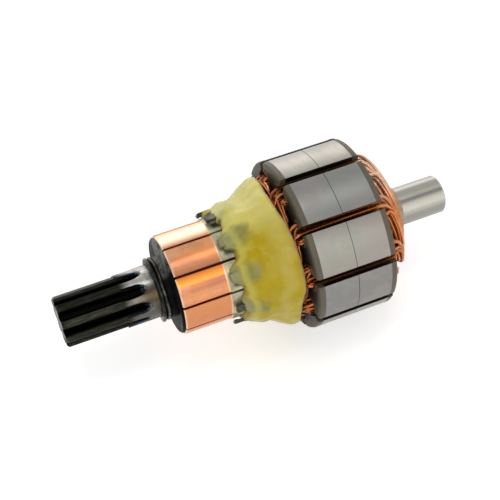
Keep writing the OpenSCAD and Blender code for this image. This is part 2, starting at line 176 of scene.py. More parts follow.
def bent_rim(place, depth, phase):
    """Moves a point of a washer's rim in or out, unevenly round the shaft, by about a depth."""
    x, y, z = place
    radius = math.hypot(y, z) / MM
    turn = math.atan2(y, -z)
    wave = (math.sin(2 * turn + phase) + math.sin(5 * turn + 2 * phase)
            + 0.6 * math.sin(9 * turn + phase)) / 2.6
    share = smooth((radius - NECK_R) / 1.2)
    grow = 1 + share * depth * (wave - 0.5) / radius
    lean = 0.4 * depth * MM * share * math.sin(3 * turn + phase)
    return Vector((x + lean, y * grow, z * grow))


TEETH = 9
FIRST_GAP = 10                 # degrees round to the first space between two teeth
POD_HALF = (3.5, 1.42, 1.4)    # half length, width and height of a run-out's pod
POD_BLUNT = 0.75               # below 1, the pod's ends are blunter than an egg's
POD_BEYOND = 1.75              # its middle lies this far behind the full teeth
POD_ABOVE = 0.3                # and this far above the neck's surface


def run_out_cutters():
    """One mesh of long round-ended pods, each where a tooth space runs out into the neck."""
    bm = bmesh.new()
    for i in range(TEETH):
        angle = FIRST_GAP + 360 * i / TEETH
        centre = on_shaft(PINION_END + POD_BEYOND, NECK_R + POD_ABOVE, angle)
        turn = Matrix.Rotation(math.radians(angle), 3, "X")
        pod = bmesh.ops.create_uvsphere(bm, u_segments=40, v_segments=28, radius=1)
        for vert in pod["verts"]:
            x, y, z = vert.co
            ball = (math.copysign(abs(x) ** POD_BLUNT, x), y, z)
            vert.co = centre + turn @ Vector(
                [half * share for half, share in zip(POD_HALF, ball)]) * MM
    return shaped(bm, "run_out_cutters")


def cut_away(piece, mesh):
    """Takes the shape of a mesh out of a piece."""
    cutter = new_piece("cutter", mesh)
    modify(piece, "BOOLEAN", operation="DIFFERENCE", solver="EXACT", object=cutter)
    bpy.data.objects.remove(cutter)


MERGE = 0.0004 * MM                  # points closer than this become one
FLAT_WITHIN = math.radians(0.6)      # faces that meet flatter than this become one
BEVEL_FROM = math.radians(32)
SHARP_FROM = math.radians(38)


def softened_copy(node, name, material, edge, shape=None, cutters=None):
    """A copy of a CAD node with merged faces and a small bevel on its sharp edges."""
    bm = bmesh.new()
    bm.from_mesh(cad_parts[node].data)
    bmesh.ops.remove_doubles(bm, verts=bm.verts, dist=MERGE)
    bmesh.ops.dissolve_degenerate(bm, edges=bm.edges, dist=MERGE)
    bmesh.ops.dissolve_limit(bm, verts=bm.verts, edges=bm.edges, angle_limit=FLAT_WITHIN)
    for vert in bm.verts if shape else ():
        vert.co = shape(vert.co)
    mesh = shaped(bm, name)
    mesh.shade_smooth()
    piece = new_piece(name, mesh, material)
    modify(piece, "BEVEL", width=edge * MM, segments=2, limit_method="ANGLE",
           angle_limit=BEVEL_FROM)
    if cutters:
        cut_away(piece, cutters)
        piece.data.shade_smooth()
    piece.data.set_sharp_from_angle(angle=SHARP_FROM)
    modify(piece, "WEIGHTED_NORMAL", keep_sharp=True, weight=100)
    settle(piece, [node])


# ---- shader building ----

def shade(colour, red, green=None, blue=None):
    """A colour with its channels scaled, all by one factor or each by its own."""
    factors = (red, red, red) if green is None else (red, green, blue)
    return [channel * factor for channel, factor in zip(colour, factors)]


def emptied(owner):
    """The node tree of a material or a world, without the nodes it starts with."""
    owner.use_nodes = True
    owner.node_tree.nodes.clear()
    return owner.node_tree


GROUPS = {}           # shared shader groups, by the function that does their work


class Graph:
    """Adds nodes to a node tree, one to a call, and hands back their outputs."""

    def __init__(self, tree):
        self.tree = tree

    def feed(self, socket, value):
        if isinstance(value, bpy.types.NodeSocket):
            self.tree.links.new(value, socket)
        elif socket.type == "RGBA":
            socket.default_value = (*value, 1.0)
        else:
            socket.default_value = value

    def add(self, kind, inputs=None, **settings):
        node = self.tree.nodes.new(kind)
        for name, value in settings.items():
            setattr(node, name, value)
        for name, value in (inputs or {}).items():
            self.feed(node.inputs[name], value)
        return node

    def math(self, operation, a, b=0.0, clamp=False):
        node = self.add("ShaderNodeMath", {0: a, 1: b}, operation=operation)
        node.use_clamp = clamp
        return node.outputs[0]

    def plus(self, a, b, clamp=False):
        return self.math("ADD", a, b, clamp)

    def minus(self, a, b):
        return self.math("SUBTRACT", a, b)

    def times(self, product, *factors):
        for factor in factors:
            product = self.math("MULTIPLY", product, factor)
        return product

    def off(self, value, middle=0.0):
        """How far a value is from a middle, without its sign."""
        return self.math("ABSOLUTE", self.minus(value, middle))

    def length(self, a, b):
        """Length of a way whose two legs are at right angles."""
        return self.math("SQRT", self.plus(self.math("POWER", a, 2.0),
                                           self.math("POWER", b, 2.0)))

    def scaled(self, vector, factors):
        return self.add("ShaderNodeVectorMath", {0: vector, 1: factors},
                        operation="MULTIPLY").outputs[0]

    def zone(self, value, start, end, low=0.0, high=1.0):
        """Rises smoothly from low to high as the value goes from start to end."""
        return self.add(
            "ShaderNodeMapRange",
            {"Value": value, "From Min": start, "From Max": end, "To Min": low, "To Max": high},
            interpolation_type="SMOOTHSTEP").outputs[0]

    def blend(self, mask, a, b):
        """Colour a where the mask is 0 and colour b where it is 1."""
        node = self.add("ShaderNodeMix", data_type="RGBA")
        for index, value in ((0, mask), (6, a), (7, b)):
            self.feed(node.inputs[index], value)
        return node.outputs[2]

    def noise(self, vector, scale, detail=3.0, roughness=0.5, distortion=0.0):
        return self.add(
            "ShaderNodeTexNoise",
            {"Vector": vector, "Scale": scale, "Detail": detail, "Roughness": roughness,
             "Distortion": distortion}).outputs["Fac"]

    def attribute(self, name):
        return self.add("ShaderNodeAttribute", attribute_name=name).outputs["Fac"]

    def group(self, work, **inputs):
        """Outputs of the shared group that does a piece of work, made at its first use."""
        if work not in GROUPS:
            GROUPS[work] = new_group(work, inputs)
        node = self.add("ShaderNodeGroup", node_tree=GROUPS[work])
        for name, value in inputs.items():
            self.feed(node.inputs[name.capitalize()], value)
        return node.outputs


def socket_kind(value):
    """Kind of a group's socket that can carry a value."""
    vector = isinstance(value, tuple) or getattr(value, "type", "") == "VECTOR"
    return "NodeSocketVector" if vector else "NodeSocketFloat"


def new_group(work, inputs):
    """A shader group with these inputs; work turns them into the outputs, by name."""
    tree = bpy.data.node_groups.new(work.__name__.replace("_", " ").title(), "ShaderNodeTree")
    for name, value in inputs.items():
        tree.interface.new_socket(
            name.capitalize(), in_out="INPUT", socket_type=socket_kind(value))
    g = Graph(tree)
    given = g.add("NodeGroupInput").outputs
    made = work(g, *(given[name.capitalize()] for name in inputs))
    for name, value in made.items():
        tree.interface.new_socket(name, in_out="OUTPUT", socket_type=socket_kind(value))
    g.add("NodeGroupOutput", made)
    return tree


def shaft_places(g, coordinates):
    """Millimetre position, place along the shaft, radius and angle from the bottom."""
    place = g.scaled(coordinates, (1 / MM, 1 / MM, 1 / MM))
    along, y, z = g.add("ShaderNodeSeparateXYZ", {"Vector": place}).outputs
    turn = g.math("DEGREES", g.math("ARCTAN2", y, g.times(z, -1.0)))
    return {"Position": place, "Along": along, "Radius": g.length(y, z), "Angle": turn}


def bar_places(g, angle, radius):
    """Degrees and millimetres round from the middle of the nearest bar."""
    share = g.math("FRACT", g.math("DIVIDE", angle, PITCH))
    off = g.times(g.minus(share, 0.5), PITCH)
    return {"Off": off, "Arc": g.times(radius, g.math("RADIANS", off))}


def streaks(g, position, fineness, contrast):
    """Fine lines, long in one direction, with a slower change of strength over them."""
    fine = g.noise(g.scaled(position, fineness), 1.0, 4.0, 0.65)
    strength = g.times(contrast, g.zone(g.noise(position, 0.35, 2.0), 0.3, 0.7, 0.5, 1.5))
    height = g.times(g.minus(fine, 0.5), strength)
    return {"Mask": g.plus(height, 0.5, clamp=True), "Height": height}


def blotches(g, position, size, cover, softness):
    """Soft stains whose size and share of the surface can be set."""
    cloud = g.noise(position, g.math("DIVIDE", 1.0, size), 4.0, 0.55, 0.4)
    edge = g.minus(1.0, cover)
    return {"Mask": g.zone(cloud, g.minus(edge, softness), g.plus(edge, softness))}


class Finish(Graph):
    """A material in the making: the places on the shaft, and a colour painted in layers."""

    def __init__(self, name):
        self.material = bpy.data.materials.new(name)
        super().__init__(emptied(self.material))
        self.shader = self.add("ShaderNodeBsdfPrincipled")
        self.add("ShaderNodeOutputMaterial", {"Surface": self.shader.outputs["BSDF"]})
        coordinates = self.add("ShaderNodeTexCoord").outputs["Object"]
        self.position, self.along, self.radius, self.angle = self.group(
            shaft_places, coordinates=coordinates)
        self.colour = None

    def streaks(self, fineness_along, fineness_across, contrast):
        """Mask and height of fine lines."""
        return self.group(
            streaks, position=self.position,
            fineness=(fineness_along, fineness_across, fineness_across), contrast=contrast)

    def blotches(self, size, cover, softness):
        """Mask of soft stains."""
        return self.group(blotches, position=self.position, size=size, cover=cover,
                          softness=softness)["Mask"]

    def bars(self):
        """Degrees and millimetres round from the middle of the nearest bar."""
        return self.group(bar_places, angle=self.angle, radius=self.radius)

    def clouds(self, scale, detail=3.0, roughness=0.5):
        return self.noise(self.position, scale, detail, roughness)

    def facing(self, angle):
        """1 where the surface lies at an angle round the shaft, and -1 opposite."""
        return self.math("COSINE", self.math("RADIANS", self.minus(self.angle, angle)))

    def near(self, angle, start, full, strength=1.0):
        """Mask that rises from nothing, start degrees from an angle, to its strength."""
        edges = [math.cos(math.radians(reach)) for reach in (start, full)]
        return self.zone(self.facing(angle), *edges, 0.0, strength)

    def placed(self, start, end, low=0.0, high=1.0):
        """Mask that rises between two places along the shaft."""
        return self.zone(self.along, start, end, low, high)

    def within(self, start, end):
        """Mask that rises between two radii."""
        return self.zone(self.radius, start, end)

    def paint(self, colour, *masks):
        """Lays a colour over the one so far, as strongly as the masks' product says."""
        self.colour = self.blend(self.times(*masks), self.colour, colour)

    def done(self, roughness, height, distance, **levels):
        """Connects all there is; the height's full range is a distance in millimetres."""
        normal = self.add("ShaderNodeBump", {
            "Height": height, "Distance": distance * MM}).outputs["Normal"]
        levels |= {"Base_Color": self.colour, "Roughness": roughness, "Normal": normal}
        for name, value in levels.items():
            self.feed(self.shader.inputs[name.replace("_", " ")], value)
        return self.material


# ---- settings ----

def a_colour(name, description, value):
    return bpy.props.FloatVectorProperty(
        name=name, description=description, subtype="COLOR", size=3, min=0, max=1,
        default=value)


def a_length(name, description, value):
    return bpy.props.FloatProperty(
        name=name, description=description, subtype="DISTANCE", unit="LENGTH",
        default=value * MM, min=0)


def an_angle(name, description, value):
    return bpy.props.FloatProperty(
        name=name, description=description, subtype="ANGLE", default=math.radians(value))


def a_count(name, description, value):
    return bpy.props.IntProperty(
        name=name, description=description, default=value, min=1)


class FinishSettings(bpy.types.PropertyGroup):
    steel: a_colour("Ground steel", "Ground faces of the poles", (0.315, 0.31, 0.295))
    shaft: a_colour("Shaft steel", "Bare neck and rear journal", (0.50, 0.49, 0.465))
    blackening: a_colour("Blackened steel", "Oil-blackened pinion", (0.0075, 0.0075, 0.006))
    copper: a_colour("Bar copper", "Turned commutator copper", (0.80, 0.365, 0.19))
    # This colour is also laid along one stripe of the track as a painted orange reflection.
    heat_tint_and_reflection: a_colour("Warm copper", "Heat-tinted commutator copper", (1.0, 0.34, 0.06))
    tarnish: a_colour("Riser tarnish", "Dull riser behind the track", (0.61, 0.58, 0.37))
    moulding: a_colour("Moulding", "Commutator moulding", (0.004, 0.004, 0.0045))
    insulator: a_colour("End insulator", "Coated end plates", (0.103, 0.086, 0.060))
    enamel: a_colour("Wire enamel", "Enamelled copper wire", (0.76, 0.25, 0.055))
    sleeve: a_colour("Sleeve", "Insulating tube on the shaft", (0.62, 0.50, 0.33))
    resin: a_colour("Resin", "Dipping resin where it is thick", (0.53, 0.385, 0.002))
    pale_resin: a_colour("Pale resin", "Dipping resin where it is thin", (0.63, 0.55, 0.07))


class WindingSettings(bpy.types.PropertyGroup):
    wire_d: a_length("Wire", "Diameter of the enamelled wire", 0.7)
    columns: a_count("Columns", "Wires side by side in a coil", 3)
    rows: a_count("Rows", "Wires above each other in a coil", 3)
    waver: a_length("Waver", "How far a wire strays from its even place", 0.1)
    turn_w: a_length("Bundle width", "Width of a coil's end turn", 2.05)
    turn_h: a_length("Bundle height", "Height of a coil's end turn", 2.0)
    knuckle_r: a_length("Knuckle radius", "Radius of the end turns at the shaft", 6.7)
    dome_rise: a_length("Dome rise", "Height of the end turns above the core", 5.4)
    seed: a_count("Seed", "Fixes the waver", 7)


class ResinSettings(bpy.types.PropertyGroup):
    scallop: a_length("Scallop", "How far the front edge lies back between the hooks", 1.6)
    lead_hump: a_length("Lead hump", "Height of the humps over the coil leads", 0.22)
    lumps: a_length("Lumps", "Height of the lumps in the resin", 0.7)
    lump_size: a_length("Lump size", "Distance between lumps", 5.0)
    edge_roll: a_length("Edge roll", "Radius of the resin's rolled edges", 0.6)


class StageSettings(bpy.types.PropertyGroup):
    lens: bpy.props.FloatProperty(
        name="Lens", description="Focal length", default=83.635, min=1, unit="CAMERA")
    azimuth: an_angle("Azimuth", "Camera's turn from the +Y view", -19.92)
    elevation: an_angle("Elevation", "Camera's height above level", 47.46)
    roll: an_angle("Roll", "Camera's lean", 3.87)
    distance: a_length("Distance", "From the camera to the aim point", 234.9)
    floor_size: a_length("Floor", "Side of the square floor", 4000)
    ambient: bpy.props.FloatProperty(
        name="Ambient", description="Light that comes evenly from all sides", default=0.45,
        min=0)


# ---- finishes ----

SHEET = 0.5           # thickness of a lamination, millimetres


def ground_steel(looks):
    """Poles: ground bright outside, lamination lines across, dark on the slot walls; lighter
    and darker poles are painted reflections, with painted shade near 270 degrees and a painted
    highlight near 198.
    """
    f = Finish("ground_steel")
    base = looks.steel
    lines, grain = f.streaks(7.0, 0.25, 0.9)
    stains = f.blotches(5.0, 0.42, 0.22)
    joint = f.zone(f.math("SINE", f.times(f.along, 2 * math.pi / SHEET)), 0.75, 1.0)
    # Painted reflections: alternate poles get a lighter, warmer copy and a darker, cooler copy
    # of the steel.
    tones = f.math("COSINE", f.times(f.minus(f.angle, 4.5 * PITCH), math.radians(5)))
    f.colour = f.blend(f.zone(tones, -0.6, 0.6), shade(base, 0.88, 0.91, 0.93),
                       shade(base, 1.25, 1.2, 1.08))
    # Painted shade on the poles near 270 degrees, and a painted highlight on those near 198.
    f.paint(shade(base, 0.72, 0.62, 0.62), f.near(270, 20, 15, 0.3))
    f.paint(shade(base, 1.25), f.near(198, 20, 15, 0.3))
    f.paint(shade(base, 0.62), lines, 0.35)
    f.paint(shade(base, 1.0, 0.93, 0.82), stains, 0.3)
    f.paint(shade(base, 0.3), joint, stains, 0.08)
    oil = f.clouds(0.22, 2.0)
    f.paint(shade(base, 1.12, 0.98, 1.0), f.zone(oil, 0.5, 0.62, 0.0, 0.35))
    f.paint(shade(base, 0.9, 1.02, 0.96), f.zone(oil, 0.46, 0.38, 0.0, 0.3))
    f.paint(shade(base, 0.12), f.zone(f.off(f.along, CORE_SEAM), 0.1, 0.03, 0.0, 0.8))
    slot_wall = f.within(CORE_R - 0.06, CORE_R - 0.16)
    f.paint((0.045, 0.042, 0.038), slot_wall)
    rough = f.zone(f.plus(lines, f.times(stains, 0.3)), 0.3, 1.0, 0.34, 0.5)
    return f.done(rough, f.minus(grain, f.times(joint, 0.12)), 0.008, Metallic=1.0)


ORANGE_REFLECTION_ANGLE = 222.5    # where a painted orange reflection runs as a stripe along the track
TRACK_HALF = math.pi * TRACK_R / BAR_COUNT - 0.25


def copper_bar(looks):
    """Bars: turned track with heat tint, painted shade and highlights that follow the angle
    round the shaft, a painted orange reflection and painted edge highlights; tarnished riser
    with a painted shadow beside each hook, and dark hooks.
    """
    f = Finish("turned_copper")
    f.colour = base = looks.copper
    off, arc = f.bars()
    lines, grain = f.streaks(6.0, 0.12, 0.4)
    dull = f.blotches(1.7, 0.5, 0.2)

    f.paint(shade(base, 0.68), lines, 0.16)
    # Painted shade across each bar, darker towards its side at the larger angle.
    f.paint(shade(base, 0.66, 0.56, 0.54), f.zone(off, -6.0, 16.0, 0.0, 0.55))
    # Painted shade in bands near 228.5 and 201 degrees, and painted highlights near 186 and 247
    # degrees.
    dark = shade(base, 0.42, 0.34, 0.36)
    for stripe, place in ((dark, (228.5, 11.5, 5, 0.9)), (dark, (201, 8, 3, 0.6)),
                          ((1.0, 0.54, 0.31), (186, 8, 3, 0.6)),
                          ((1.0, 0.50, 0.27), (247, 6, 3, 0.4))):
        f.paint(stripe, f.near(*place))
    f.paint(shade(base, 0.72, 0.68, 0.75), f.zone(f.clouds(0.4), 0.48, 0.66, 0.0, 0.4))
    warmth = f.times(f.blotches(7.5, 0.42, 0.16), 0.35)
    # Warm copper in random blotches is heat tint; the stripe near 222.5 degrees is a painted
    # orange reflection.
    f.paint(looks.heat_tint_and_reflection,
            f.math("MAXIMUM", f.near(ORANGE_REFLECTION_ANGLE, 7.25, 2.56, 0.9), warmth))
    # Painted highlight on the bars near 160 degrees, and painted shade in deeper orange on
    # those near 272.
    f.paint((0.95, 0.72, 0.50), f.near(160, 21.57, 12.84, 0.65))
    f.paint((0.60, 0.225, 0.085), f.near(272, 31, 17, 0.6))
    edge = f.zone(f.off(arc), TRACK_HALF - 0.35, TRACK_HALF - 0.08)
    f.paint((0.62, 0.16, 0.05), edge, 0.4)
    # Painted highlights along the track's front and rear edges.
    painted_edge_highlights = f.math("MAXIMUM", f.placed(TRACK_END - 0.35, TRACK_END - 0.1),
                         f.placed(BARS_FRONT + 0.45, BARS_FRONT + 0.1))
    f.paint((1.0, 0.78, 0.6), painted_edge_highlights, 0.5)

    riser = f.blend(dull, looks.tarnish, shade(looks.tarnish, 0.6))
    shadow = f.times(f.zone(f.off(arc, 1.35), 1.25, 0.4),
                     f.placed(TRACK_END + 0.3, TRACK_END + 1.5), 0.92)
    riser = f.blend(shadow, riser, (0.03, 0.026, 0.014))
    behind = f.placed(TRACK_END - 0.02, TRACK_END + 0.12)
    f.paint(riser, behind)
    hook = f.blend(f.zone(dull, 0.2, 0.9), (0.085, 0.082, 0.058), (0.028, 0.024, 0.015))
    hook = f.blend(f.near(216, 38, 33, 0.8), hook, (0.27, 0.27, 0.13))
    f.paint(hook, f.within(HOOK_R - 1.1, HOOK_R - 0.85))
    rough = f.plus(f.zone(lines, 0.1, 0.9, 0.26, 0.33), f.times(behind, 0.1))
    return f.done(rough, grain, 0.0004, Metallic=f.zone(behind, 0.0, 1.0, 1.0, 0.55))


def shaft_steel(looks):
    """Shaft: blackened pinion with painted highlights on its lands and painted reflections in
    its run-outs, oil-stained neck painted darker below its top as painted shade, turned steel
    behind with painted reflection bands on the journal.
    """
    f = Finish("shaft_steel")
    base, black = looks.shaft, looks.blackening
    turned, grain = f.streaks(7.0, 0.15, 0.8)
    drawn = f.streaks(0.35, 2.6, 1.3)["Mask"]
    patch = f.clouds(0.5)
    f.colour = f.blend(turned, shade(base, 0.72), shade(base, 1.12))

    neck = f.placed(WASHER_FACE + 2, WASHER_FACE + 0.6)
    # Painted shade: the neck is darkened except on its top, broken up by a random patch.
    wear_and_shade = f.plus(f.facing(176), f.times(f.minus(patch, 0.5), 0.7))
    f.paint((0.062, 0.060, 0.055), neck, f.zone(wear_and_shade, 1.0, 0.5), 0.88)
    # Painted shade on the neck near 216 degrees.
    f.paint((0.05, 0.046, 0.04), neck, f.near(216, 16, 7, 0.5))
    near_teeth = f.placed(WASHER_FACE + 0.2, PINION_END + 0.4, 0.3, 1.0)
    f.paint((0.17, 0.115, 0.06), neck, near_teeth, f.zone(patch, 0.5, 0.64), 0.55)
    oil = (0.075, 0.055, 0.03)
    creep = f.plus(f.along, f.times(patch, 3.0))
    f.paint(oil, neck, f.zone(creep, WASHER_FACE + 0.1, WASHER_FACE + 1.4), 0.7)
    # Painted shade on the neck's lower side near 228 degrees, laid in the oil's colour.
    f.paint(oil, f.near(-132, 21.57, 8.11), f.placed(WASHER_FACE - 5.0, WASHER_FACE - 1.6),
            neck, 0.85)

    journal = f.placed(-0.5, 0.5)
    f.paint(shade(base, 0.88, 0.86, 0.74), journal, 0.5)
    barrel = f.times(journal, f.within(JOURNAL_R - 0.4, JOURNAL_R))
    # Painted reflections on the journal: dark bands near 160, 213 and 300 degrees, and a pale
    # one near 230.
    for band in ((160, 24, 10, 0.4), (213, 9, 4, 0.5), (300, 52, 38, 0.45)):
        f.paint(shade(base, 0.3), barrel, f.near(*band))
    f.paint((0.80, 0.77, 0.66), barrel, f.near(230, 18, 8, 0.5))

    ragged = f.plus(f.along, f.times(f.minus(drawn, 0.5), 1.2))
    toothed = f.zone(ragged, PINION_END + 3.0, PINION_END - 0.6)
    f.paint((0.075, 0.07, 0.055), f.zone(toothed, 0.0, 0.7), 0.85)
    # Painted reflections on the blackened run-outs: blue just under the neck's surface by the
    # teeth, and a pale grey painted highlight where they climb out to the neck.
    painted_blue_reflection = f.times(f.within(NECK_R - 0.6, NECK_R - 0.15),
                    f.placed(PINION_END, PINION_END + 2.5))
    soot_and_reflections = f.blend(painted_blue_reflection, shade(black, 0.4), (0.02, 0.04, 0.085))
    painted_end_highlight = f.placed(PINION_END + 3.9, PINION_END + 5.1, 0.0, 0.8)
    soot_and_reflections = f.blend(painted_end_highlight, soot_and_reflections, (0.30, 0.31, 0.32))
    # Painted highlight: the tooth lands are laid in a lighter olive than the black spaces.
    land = f.times(f.within(PINION_R - 0.7, PINION_R - 0.08),
                   f.placed(PINION_END + 2.5, PINION_END - 0.3))
    olive = f.blend(f.zone(drawn, 0.3, 0.85), shade(black, 1.5), shade(black, 5.5, 5.5, 4.8))
    cut = f.times(f.within(NECK_R - 0.02, NECK_R - 0.3),
                  f.placed(WASHER_FACE + 0.05, WASHER_FACE - 0.05))
    dark = f.math("MAXIMUM", f.zone(toothed, 0.45, 1.0), cut)
    f.paint(f.blend(land, soot_and_reflections, olive), dark)
    rough = f.plus(f.zone(turned, 0.2, 0.8, 0.26, 0.40), f.times(dark, 0.04))
    return f.done(rough, grain, 0.006, Metallic=1.0)


def dark_washer(name, light):
    """Washers: oily and nearly black, or a lighter grey on the inner one."""
    f = Finish(name)
    lines, grain = f.streaks(5.0, 0.8, 0.9)
    wear_and_shade = f.blotches(1.6, 0.5, 0.12)
    f.colour = f.blend(lines, shade(light, 0.6), shade(light, 1.4))
    f.paint(shade(light, 0.22), wear_and_shade, 0.85)
    return f.done(f.zone(wear_and_shade, 0.0, 1.0, 0.26, 0.42), grain, 0.02, Metallic=0.9)


def black_moulding(looks):
    """Hub: black moulded resin, dusty on its upper side, where the grey blotches also serve as
    a painted sheen, reddish between the bars.
    """
    f = Finish("black_moulding")
    grain = f.clouds(2.2, 5.0, 0.6)
    dust_and_sheen = f.blotches(1.8, 0.58, 0.2)
    f.colour = f.blend(grain, shade(looks.moulding, 0.7), shade(looks.moulding, 1.6))
    # Dusty blotches, kept to the upper side so that they also serve as a painted sheen.
    f.paint((0.31, 0.30, 0.28), dust_and_sheen, f.zone(f.facing(168), 0.72, 0.95, 0.02, 1.0), 0.85)
    f.paint((0.14, 0.03, 0.008), f.within(TRACK_R - 1.2, TRACK_R - 0.8),
            f.placed(BARS_FRONT + 0.2, BARS_FRONT + 0.5), 0.7)
    return f.done(f.zone(dust_and_sheen, 0.0, 1.0, 0.24, 0.38), grain, 0.015, Specular_IOR_Level=0.01)


def coated_insulator(looks):
    """End plates: grey-brown coating, with a painted highlight along the rounded outer edge and
    painted shade further in.
    """
    f = Finish("coated_insulator")
    base = looks.insulator
    grain = f.clouds(3.0, 5.0, 0.65)
    f.colour = f.blend(grain, shade(base, 0.7), shade(base, 1.25))
    f.paint((0.045, 0.036, 0.026), f.blotches(2.6, 0.5, 0.2), 0.5)
    # Painted shade on the plate further in, under the end turns.
    f.paint((0.014, 0.012, 0.010), f.within(CORE_R - 0.9, CORE_R - 2.2), 0.8)
    # Painted highlight along the rounded outer edge.
    f.paint(shade(base, 1.9), f.within(CORE_R - 0.3, CORE_R - 0.05), 0.5)
    return f.done(f.zone(grain, 0.3, 0.7, 0.4, 0.6), grain, 0.03, Specular_IOR_Level=0.3)


def enamelled_wire(looks):
    """Wire: copper under amber enamel, each turn with its own tone; a painted highlight on the
    upper rear turns, painted shade on the lower rear ones, and painted shade towards the front
    and inside the slots.
    """
    f = Finish("enamelled_wire")
    scorch = f.blotches(2.2, 0.42, 0.15)
    f.colour = f.blend(f.attribute("turn_tone"), shade(looks.enamel, 0.55, 0.40, 0.35),
                       (0.96, 0.40, 0.13))
    f.paint((0.30, 0.075, 0.02), scorch, 0.5)
    behind = f.placed(CORE_REAR - 0.5, CORE_REAR + 1.0)
    # Painted highlight on the upper rear turns and painted shade on the lower rear ones.
    f.paint((1.0, 0.66, 0.46), behind, f.near(176, 50, 24, 0.75))
    f.paint((0.62, 0.17, 0.025), behind, f.near(255, 70, 34, 0.6))
    # Painted shade: the wire darkens from the core's rear towards the front, and over the front
    # end turns and leads.
    painted_front_shade = f.placed(CORE_REAR - 1.0, CORE_FRONT + 3.0, 0.0, 0.58)
    f.paint((0.17, 0.028, 0.004), painted_front_shade)
    # Faint painted shade on the wire inside the slots.
    f.paint((0.045, 0.010, 0.003), f.placed(CORE_FRONT - 0.3, CORE_FRONT + 0.8),
            f.placed(CORE_REAR + 0.3, CORE_REAR - 4.0), 0.05)
    return f.done(f.zone(scorch, 0.0, 1.0, 0.27, 0.4), f.clouds(5.0), 0.02,
                  Metallic=f.zone(behind, 0.0, 1.0, 0.85, 0.58), Coat_Roughness=0.14,
                  Coat_Weight=f.zone(behind, 0.0, 1.0, 0.12, 0.25))


def varnished_paper():
    """Slot liners: brown paper impregnated with varnish."""
    f = Finish("varnished_paper")
    fibre = f.clouds(2.5, 5.0, 0.65)
    f.colour = f.blend(fibre, (0.055, 0.035, 0.018), (0.15, 0.10, 0.05))
    return f.done(f.zone(fibre, 0.3, 0.7, 0.35, 0.6), fibre, 0.03)


def cream_sleeve(looks):
    """Sleeves on the shaft: cream tube, browned next to the coils."""
    f = Finish("cream_sleeve")
    weave, grain = f.streaks(3.0, 2.0, 0.7)
    f.colour = f.blend(weave, shade(looks.sleeve, 0.8), shade(looks.sleeve, 1.1))
    f.paint((0.36, 0.20, 0.09), f.blotches(2.0, 0.45, 0.15), 0.55)
    return f.done(f.zone(weave, 0.2, 0.8, 0.42, 0.6), grain, 0.03)


def dipping_resin(looks):
    """Resin: cloudy yellow, grey-green over the leads, olive where it thins out; a painted
    highlight on its upper side and along a band near the rear edge, and a painted shadow beside
    each hook.
    """
    f = Finish("dipping_resin")
    _, arc = f.bars()
    from_front, from_rear = f.attribute("from_front"), f.attribute("from_rear")
    milk = f.blotches(2.6, 0.42, 0.25)
    f.colour = f.blend(f.blotches(6.5, 0.42, 0.25), looks.resin, looks.pale_resin)
    f.paint((0.62, 0.50, 0.10), milk, 0.3)
    # Painted highlight on the resin's upper side.
    f.paint((0.88, 0.80, 0.25), f.near(165, 43.95, 11.48, 0.75))
    f.paint((0.51, 0.36, 0.0), f.near(-124, 36.87, 8.11, 0.62))

    wander = f.times(f.minus(f.clouds(0.45), 0.5), 3.2)
    away = f.length(f.minus(f.along, BARS_REAR + 1.1), arc)
    leads = f.zone(f.plus(away, wander), 3.0, 0.7)
    f.paint((0.285, 0.275, 0.085), leads, f.minus(0.85, f.near(135, 50, 30, 0.5)))

    hook = f.zone(f.off(arc), 2.6, 1.4)
    depth = f.minus(from_front, f.times(hook, 1.3))
    f.paint((0.66, 0.63, 0.15), f.zone(depth, 0.3, 0.8), f.zone(depth, 2.4, 1.2), 0.55)
    f.paint((0.33, 0.33, 0.16), f.zone(depth, 1.0, 0.0),
            f.minus(1.0, f.near(130, 50, 34, 0.8)), f.zone(hook, 0.0, 1.0, 0.35, 0.85))
    # Painted shadow on the resin beside one side of each hook, near the front edge.
    f.paint((0.07, 0.06, 0.02), f.zone(arc, 0.9, 1.9), f.zone(arc, 3.0, 2.2),
            f.zone(from_front, 0.9, 0.1), 0.8)
    # Painted highlight along a band near the rear edge, where the swell begins.
    painted_ridge_highlight = f.off(f.plus(from_rear, f.times(f.clouds(0.16, 0.0), 5.0)), 5.4)
    f.paint((0.74, 0.62, 0.22), f.zone(painted_ridge_highlight, 1.9, 0.1, 0.0, 0.3))
    f.paint((0.62, 0.40, 0.18), f.zone(from_rear, 1.0, 0.1), 0.7)
    return f.done(f.zone(milk, 0.0, 1.0, 0.2, 0.34), f.clouds(0.9), 0.09,
                  Subsurface_Weight=0.12, Subsurface_Radius=(1.0, 0.8, 0.1),
                  Subsurface_Scale=0.8 * MM, Specular_IOR_Level=0.17)


# ---- coil route ----

def curved(a, b, c, d, t):
    """A smooth way from b to c that comes from a and goes on to d."""
    return 0.5 * (2 * b + (c - a) * t + (2 * a - 5 * b + 4 * c - d) * t * t
                  + (3 * b - a - 3 * c + d) * t ** 3)


